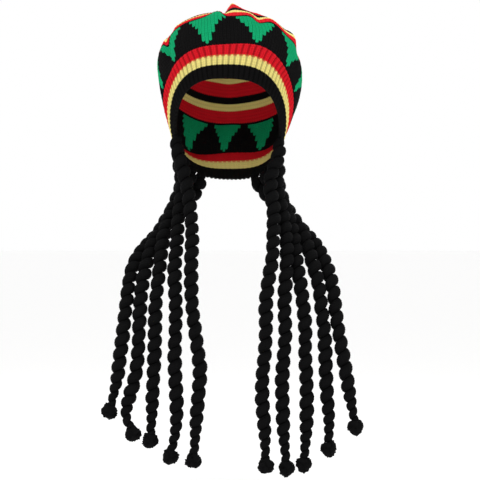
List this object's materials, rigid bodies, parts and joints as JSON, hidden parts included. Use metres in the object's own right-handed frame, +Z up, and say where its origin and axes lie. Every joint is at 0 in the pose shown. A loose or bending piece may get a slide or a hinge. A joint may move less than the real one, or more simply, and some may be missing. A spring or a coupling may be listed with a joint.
{
  "type": "rasta tam with locks",
  "caption": "Slouchy knitted tam with a ribbed three-colour band, a zigzag field, a striped gathered crown and twisted fabric locks that hang from both sides of the rim.",
  "frame": {"origin": "centre of the head opening, in the middle of the tilted rim", "axes": "+Z up, the brow side of the rim faces -Y, +X is to the right seen from the front"},
  "size_m": [0.3529, 0.2096, 0.6395],
  "materials": {
    "yarn_black": "matte black acrylic knit",
    "yarn_red": "matte red acrylic knit",
    "yarn_yellow": "matte pale yellow acrylic knit",
    "yarn_green": "matte green acrylic knit",
    "lock_fabric": "matte black brushed jersey, twisted"
  },
  "bodies": {
    "root": {"hem_black": "yarn_black", "band_yellow": "yarn_yellow", "band_red": "yarn_red", "zigzag_field": "yarn_black", "green_triangle_01": "yarn_green", "green_triangle_02": "yarn_green", "green_triangle_03": "yarn_green", "green_triangle_04": "yarn_green", "green_triangle_05": "yarn_green", "green_triangle_06": "yarn_green", "green_triangle_07": "yarn_green", "green_triangle_08": "yarn_green", "green_triangle_09": "yarn_green", "green_triangle_10": "yarn_green", "green_triangle_11": "yarn_green", "stripe_red": "yarn_red", "stripe_yellow": "yarn_yellow", "gathered_top": "yarn_black", "lock_left_1": "lock_fabric", "knot_left_1": "lock_fabric", "lock_left_2": "lock_fabric", "knot_left_2": "lock_fabric", "lock_left_3": "lock_fabric", "knot_left_3": "lock_fabric", "lock_left_4": "lock_fabric", "knot_left_4": "lock_fabric", "lock_left_5": "lock_fabric", "knot_left_5": "lock_fabric", "lock_right_1": "lock_fabric", "knot_right_1": "lock_fabric", "lock_right_2": "lock_fabric", "knot_right_2": "lock_fabric", "lock_right_3": "lock_fabric", "knot_right_3": "lock_fabric", "lock_right_4": "lock_fabric", "knot_right_4": "lock_fabric", "lock_right_5": "lock_fabric", "knot_right_5": "lock_fabric"}
  },
  "joints": []
}
